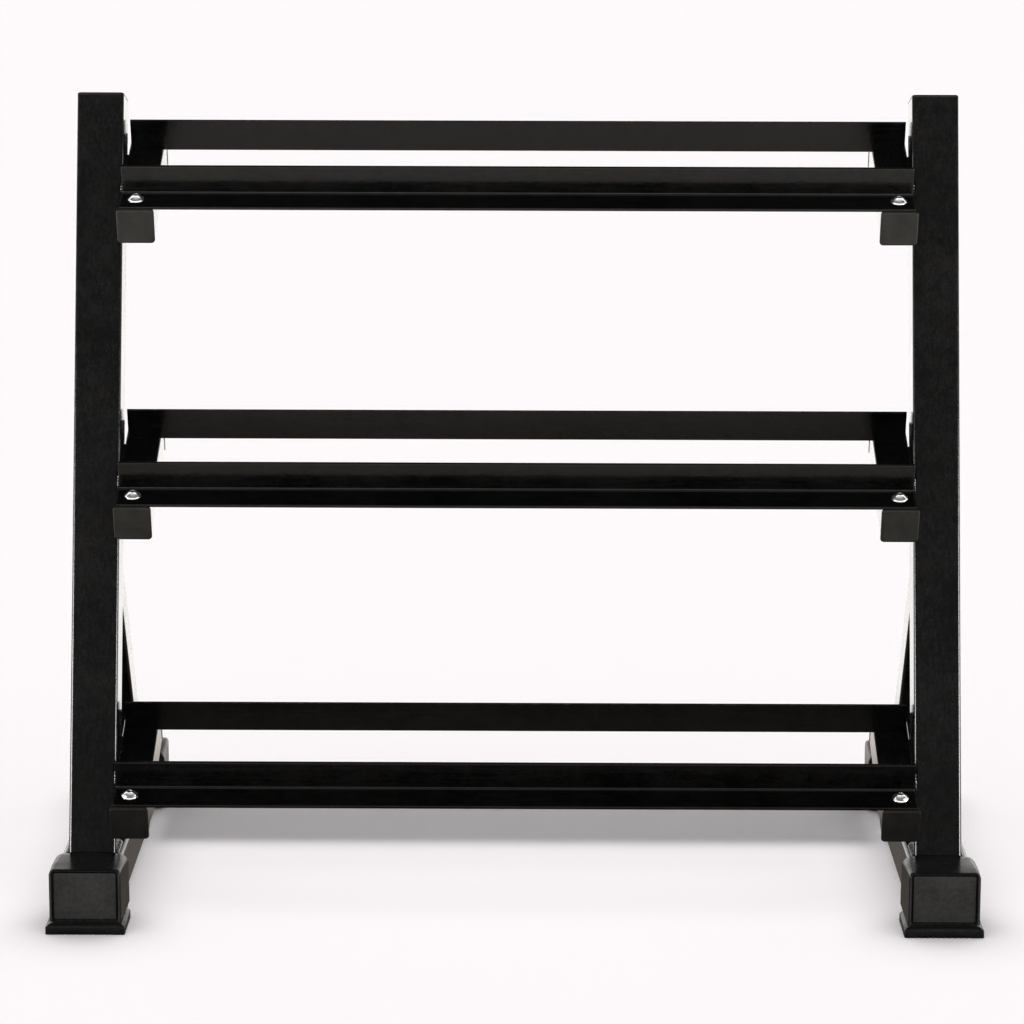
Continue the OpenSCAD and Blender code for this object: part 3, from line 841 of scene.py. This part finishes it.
# ------------------------------------------------------------------ welds
def weld(name, path, normal, width=0.0055, height=0.0022, pitch=0.0030, seed=0.0, into=0.0008):
    """Weld bead along a polyline. normal points out of the joint."""
    normal = Vector(normal).normalized()
    pts = [Vector(p) for p in path]
    # resample
    seg_len = [(pts[i + 1] - pts[i]).length for i in range(len(pts) - 1)]
    total = sum(seg_len)
    step = 0.0007
    n = max(6, int(total / step))
    samples = []
    for i in range(n + 1):
        d = total * i / n
        k = 0
        while k < len(seg_len) - 1 and d > seg_len[k]:
            d -= seg_len[k]
            k += 1
        t = d / seg_len[k]
        p = pts[k].lerp(pts[k + 1], t)
        tan = (pts[k + 1] - pts[k]).normalized()
        samples.append((p, tan, total * i / n))
    rings = []
    for p, tan, s in samples:
        side = tan.cross(normal).normalized()
        nn = side.cross(tan).normalized()
        # ripple: overlapping coins
        ph = s / pitch + 0.35 * noise.noise(Vector((s * 90, seed, 0)))
        fr = ph - math.floor(ph)
        coin = math.sqrt(max(0.0, 1 - (2 * abs(fr - 0.42)) ** 2)) if abs(fr - 0.42) < 0.5 else 0.0
        wob = noise.noise(Vector((s * 120, seed + 5, 1))) * 0.0006
        wid = width * (0.86 + 0.12 * coin + 0.16 * noise.noise(Vector((s * 160, seed + 9, 3))))
        hgt = height * (0.72 + 0.34 * coin + 0.25 * noise.noise(Vector((s * 140, seed + 2, 7))))
        end = min(1.0, s / 0.003, (total - s) / 0.003)
        end = math.sqrt(max(0.02, end))
        wid *= end
        hgt *= end
        ring = []
        for i in range(14):
            a = 2 * math.pi * i / 14
            ca, sa = math.cos(a), math.sin(a)
            up = hgt * sa if sa > 0 else into * sa
            # ripples bow forward in the middle of the bead
            fwd = 0.0010 * max(0.0, sa) * coin
            ring.append(p + side * (wid / 2 * ca + wob) + nn * up + tan * fwd * end)
        rings.append(ring)
    v, f = loft(rings)
    return mesh_object(name, v, f, MAT_WELD, sharp=1.2)


def polyline_weld(name, path, normals, **kw):
    """Separate straight beads joined in one object."""
    obs = []
    for i in range(len(path) - 1):
        obs.append(weld(name + str(i), [path[i], path[i + 1]], normals[i], seed=kw.get("seed", 0) + i * 3.7,
                        **{k: v for k, v in kw.items() if k != "seed"}))
    ob = join(name, obs)
    shade(ob, 1.2)
    return ob


def welds():
    zt = BASE_TOP
    for si, (side, s) in enumerate(SIDES.items()):
        x = frame_x(side)
        hw = 0.025
        y0 = face_y(zt)
        y1 = y0 + 0.050 / math.cos(LEAN)
        # foot of the upright, on the base tube: round all four sides
        c = [Vector((x - hw, y0, zt)), Vector((x + hw, y0, zt)), Vector((x + hw, y1, zt)), Vector((x - hw, y1, zt))]
        path = c + [c[0]]
        nrm = [(0, -1, 0.9), (1, 0, 1), (0, 1, 1.1), (-1, 0, 1)]
        ob = polyline_weld("%s_upright_foot_weld" % side, path, nrm, width=0.0075, height=0.0028, pitch=0.0034, seed=10 + si * 31)
        place(ob, "%s_upright_foot_weld" % side)

        # heel and head of the rear brace
        lo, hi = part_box("%s_rear_brace" % side)
        bw = 0.019
        ya = lo.y
        heel_back = hi.y
        ang = math.radians(53)
        heel_len = 0.038 / math.sin(ang)
        hy1 = heel_back
        hy0 = heel_back - heel_len
        c = [Vector((x - bw, hy0, zt)), Vector((x + bw, hy0, zt)), Vector((x + bw, hy1, zt)), Vector((x - bw, hy1, zt))]
        ob = polyline_weld("%s_brace_heel_weld" % side, c + [c[0]], [(0, -1, 0.6), (1, 0, 1), (0, 1, 1), (-1, 0, 1)],
                           width=0.0065, height=0.0024, pitch=0.0032, seed=50 + si * 17)
        place(ob, "%s_brace_heel_weld" % side)
        # head, against the upright's back face
        zb = hi.z
        ub = Vector((0, math.sin(LEAN), math.cos(LEAN)))
        back_n = Vector((0, math.cos(LEAN), -math.sin(LEAN)))
        # brace direction, up and forward
        bd = Vector((0, -math.cos(ang), math.sin(ang)))
        top = Vector((x, face_y(zb) + 0.050 / math.cos(LEAN), zb))
        # where the brace's under side meets the same face
        cross = 0.038 / math.sin(math.acos(max(-1, min(1, bd.dot(ub)))))
        low = top - ub * cross
        c = [top + Vector((-bw, 0, 0)), top + Vector((bw, 0, 0)), low + Vector((bw, 0, 0)), low + Vector((-bw, 0, 0))]
        nrm = [back_n + ub * 0.9, back_n + Vector((1, 0, 0)), back_n - ub * 0.9, back_n + Vector((-1, 0, 0))]
        ob = polyline_weld("%s_brace_head_weld" % side, c + [c[0]], nrm, width=0.0060, height=0.0022, pitch=0.0032, seed=80 + si * 13)
        place(ob, "%s_brace_head_weld" % side)

        # brackets: round the contact patch with the upright's inner side
        xi = x - s * hw
        for ti, tier in enumerate(TIERS):
            m = on_tier(tier)
            org = m.translation
            cu, su = math.cos(TILT), math.sin(TILT)
            tl = math.tan(LEAN)

            def hit(n, depth):
                """Distance along the bracket at which its line at height n
                crosses the upright's plane at depth behind the face."""
                # y = org.y + u*cu - n*su ; z = org.z + u*su + n*cu ; face at y = face_y(z) + depth/cos
                a = cu - su * tl
                b = (face_y(org.z) + depth / math.cos(LEAN)) + n * cu * tl - (org.y - n * su)
                return b / a
            P = lambda u, n: Vector((xi, org.y + u * cu - n * su, org.z + u * su + n * cu))
            r = 0.0022
            ft, fb = P(hit(0.0, 0.0), 0.0), P(hit(-0.038, 0.0), -0.038)
            bt, bb = P(hit(0.0, 0.050), 0.0), P(hit(-0.038, 0.050), -0.038)
            inw = Vector((-s, 0, 0))
            fwd = Vector((0, -math.cos(LEAN), math.sin(LEAN)))
            # the bracket's side face is in line with xi, so each bead lies in that corner
            off = 0.0006
            obs = []
            path_f = [fb + fwd * off, ft + fwd * off]
            obs.append(weld("wf", path_f, fwd * 0.9 + inw * 0.55, width=0.0060, height=0.0030, pitch=0.0029, seed=3 + ti * 7 + si * 40))
            path_b = [bb - fwd * off, bt - fwd * off]
            obs.append(weld("wb", path_b, -fwd * 0.9 + inw * 0.5, width=0.0058, height=0.0026, pitch=0.0030, seed=4 + ti * 7 + si * 40))
            upn = Vector((0, -su, cu))
            ins = 0.010
            d = (bt - ft).normalized()
            obs.append(weld("wt", [ft + d * ins * 0.3, bt - d * ins * 0.3], upn * 0.9 + inw * 0.9, width=0.0052, height=0.0020, pitch=0.0030, seed=5 + ti * 7 + si * 40))
            ob = join("%s_%s_bracket_weld" % (side, tier), obs)
            shade(ob, 1.2)
            place(ob, "%s_%s_bracket_weld" % (side, tier))


bracket_caps()
upright_caps()
boots()
fasteners()
welds()


# ------------------------------------------------------------------ stage
WHITE = (0.993, 0.965, 0.972)


def make_floor():
    v = [(-30, -30, 0), (30, -30, 0), (30, 45, 0), (-30, 45, 0)]
    me = bpy.data.meshes.new("floor")
    me.from_pydata(v, [], [(0, 1, 2, 3)])
    ob = bpy.data.objects.new("floor", me)
    COL.objects.link(ob)
    m, n = new_material("studio_floor")
    co = n.add("ShaderNodeTexCoord")
    soft = n.noise(co, 2.0, 2.0)
    col = n.mix((soft, "Fac"), (0.899, 0.872, 0.886), (0.903, 0.876, 0.890))
    dif = n.add("ShaderNodeBsdfDiffuse")
    n.link(col, "Result", dif, "Color")
    # for rays other than the camera's the floor glows, a painted light source: the sweep as the rack's own reflections
    # see it, with painted shade dim by the rack and brighter further out
    pos = n.add("ShaderNodeSeparateXYZ")
    n.link(co, "Object", pos, "Vector")
    ax = n.math("ABSOLUTE", (pos, "X"))
    gy = n.profile(pos, "Y", [(-5.0, 1.7), (-2.6, 2.1), (-2.0, 1.9), (-1.5, 1.1), (-1.1, 0.90), (-0.86, 0.80), (-0.75, 0.74), (-0.58, 0.60),
                              (-0.46, 0.55), (-0.40, 0.22), (-0.365, 0.12), (-0.30, 0.08), (-0.255, 0.22), (-0.18, 0.22),
                              (0.15, 0.22), (0.35, 0.55), (0.8, 1.40), (3.0, 1.45)], 2.1)
    gx = n.profile(ax, "Value", [(0.55, 0.0), (0.75, 0.15), (1.4, 1.3), (3.0, 1.45)], 1.5)
    g = n.math("MAXIMUM", (gy, "Value"), (gx, "Value"))
    warm = n.ramp(g, "Value", 0.5, 1.3)
    tint = n.mix((warm, "Result"), (1.0, 0.90, 0.80), (1.0, 0.985, 0.965))
    em = n.add("ShaderNodeEmission")
    n.link(tint, "Result", em, "Color")
    n.link(g, "Value", em, "Strength")
    lp = n.add("ShaderNodeLightPath")
    mx = n.add("ShaderNodeMixShader")
    n.link(lp, "Is Camera Ray", mx, 0)
    n.t.links.new(em.outputs[0], mx.inputs[1])
    n.t.links.new(dif.outputs[0], mx.inputs[2])
    out = n.add("ShaderNodeOutputMaterial")
    n.t.links.new(mx.outputs[0], out.inputs["Surface"])
    me.materials.append(m)
    return ob


def make_world():
    """Studio seen by the rack: a soft box high in front, a bright sweep low
    behind, dim elsewhere. The camera sees plain white."""
    w = bpy.data.worlds.new("studio")
    SCENE.world = w
    w.use_nodes = True
    n = Nodes(w.node_tree)
    co = n.add("ShaderNodeTexCoord")
    sep = n.add("ShaderNodeSeparateXYZ")
    n.link(co, "Generated", sep, "Vector")
    low = n.ramp(sep, "Z", 0.42, 0.16, 0.0, 1.0)
    low.interpolation_type = "SMOOTHSTEP"
    back = n.ramp(sep, "Y", 0.05, 0.55, 0.0, 1.0)
    back.interpolation_type = "SMOOTHSTEP"
    glow = n.math("MULTIPLY", (low, "Result"), (back, "Result"))
    glow = n.math("MULTIPLY", (glow, "Value"), 1.45)
    # high in front: elevation 30 to 70 degrees
    up = n.ramp(sep, "Z", 0.55, 0.70, 0.0, 1.0)
    up.interpolation_type = "SMOOTHSTEP"
    down = n.ramp(sep, "Z", 0.97, 0.90, 0.0, 1.0)
    down.interpolation_type = "SMOOTHSTEP"
    fr = n.ramp(sep, "Y", -0.10, -0.30, 0.0, 1.0)
    fr.interpolation_type = "SMOOTHSTEP"
    box = n.math("MULTIPLY", (up, "Result"), (down, "Result"))
    box = n.math("MULTIPLY", (box, "Value"), (fr, "Result"))
    box = n.math("MULTIPLY", (box, "Value"), 0.45)
    front = n.ramp(sep, "Y", 0.1, -0.6, 0.02, 0.25)
    tot = n.math("ADD", (glow, "Value"), (front, "Result"))
    tot = n.math("ADD", (tot, "Value"), (box, "Value"))
    bg = n.add("ShaderNodeBackground")
    bg.inputs["Color"].default_value = (1.0, 0.985, 0.965, 1)
    n.link(tot, "Value", bg, "Strength")
    white = n.add("ShaderNodeBackground")
    white.inputs["Color"].default_value = (*WHITE, 1)
    white.inputs["Strength"].default_value = 1.0
    lp = n.add("ShaderNodeLightPath")
    mx = n.add("ShaderNodeMixShader")
    n.link(lp, "Is Camera Ray", mx, 0)
    n.t.links.new(bg.outputs[0], mx.inputs[1])
    n.t.links.new(white.outputs[0], mx.inputs[2])
    out = n.add("ShaderNodeOutputWorld")
    n.t.links.new(mx.outputs[0], out.inputs["Surface"])


def group(name, objects):
    c = bpy.data.collections.new(name)
    for o in objects:
        c.objects.link(o)
    return c


def sun(name, direction, strength, angle, color=(1, 1, 1)):
    """direction: from the rack towards the light."""
    d = bpy.data.lights.new(name, "SUN")
    d.energy = strength
    d.angle = math.radians(angle)
    d.color = color
    o = bpy.data.objects.new(name, d)
    o.rotation_euler = Vector(direction).to_track_quat("Z", "Y").to_euler()
    COL.objects.link(o)
    return o


def area(name, loc, target, size, radiance, color=(1, 1, 1)):
    """Rectangular softbox of the given radiance."""
    d = bpy.data.lights.new(name, "AREA")
    d.shape = "RECTANGLE"
    d.size, d.size_y = size
    d.energy = radiance * math.pi * size[0] * size[1]
    d.color = color
    o = bpy.data.objects.new(name, d)
    o.location = loc
    o.rotation_euler = (Vector(loc) - Vector(target)).to_track_quat("Z", "Y").to_euler()
    COL.objects.link(o)
    return o


FLOOR_KEY, FLOOR_FILL = 1.71, 1.11
floor = make_floor()
make_world()

# soft light on the floor alone, in two parts; only what stands low on it
# throws a shadow, and for the larger part a flag card just above the floor,
# which nothing else sees, deepens the shade under the rack
FLAG = (0.405, 0.074, 0.40, 0.028)
flag = mesh_object("flag", [(-FLAG[0], FLAG[1], FLAG[3]), (FLAG[0], FLAG[1], FLAG[3]), (FLAG[0], FLAG[2], FLAG[3]), (-FLAG[0], FLAG[2], FLAG[3])],
                   [(0, 1, 2, 3)], MAT_CAP, smooth=False)
flag.visible_camera = flag.visible_diffuse = flag.visible_glossy = flag.visible_transmission = False
low_parts = [o for o in SCENE.objects if o.type == "MESH" and ("boot_look" in o.name or "base_tube" in o.name)]
floor_only = group("floor_only", [floor])
for label, strength, blockers in (("key", FLOOR_KEY, low_parts + [flag]), ("fill", FLOOR_FILL, [o for o in low_parts if "boot_look" in o.name])):
    part = sun("floor_" + label, (0.0, 0.24, 1.0), strength, 100)
    part.light_linking.receiver_collection = floor_only
    part.light_linking.blocker_collection = group("floor_%s_blockers" % label, blockers)

# overhead dome for the bright fasteners
fasteners_lit = group("fasteners_lit", [o for o in SCENE.objects if o.type == "MESH" and "_bolts_look" in o.name or "_washers_look" in o.name])
dome = sun("fastener_dome", (0.0, 0.62, 1.0), 2.7, 124)
dome.light_linking.receiver_collection = fasteners_lit
for o in fasteners_lit.objects:
    o.visible_glossy = False  # keeps the bright heads from doubling in the gloss behind them

# two low strip softboxes, left and right of the camera's side of the rack
rack = [o for o in SCENE.objects if o.type == "MESH" and o not in (floor, flag)]
lit = group("strip_lit", [o for o in rack if not o.name.endswith("cap_look")])
rack_only = group("rack_only", rack)
for sx in (-1, 1):
    strip = area("strip_%s" % ("left" if sx < 0 else "right"), (sx * 2.85, -1.05, 0.42), (0, 0, 0.42), (1.5, 0.84), 13.0)
    strip.light_linking.receiver_collection = lit
    strip.light_linking.blocker_collection = rack_only

SCENE.view_settings.view_transform = "Standard"
SCENE.view_settings.look = "None"
SCENE.view_settings.exposure = 0.0
SCENE.view_settings.gamma = 0.78
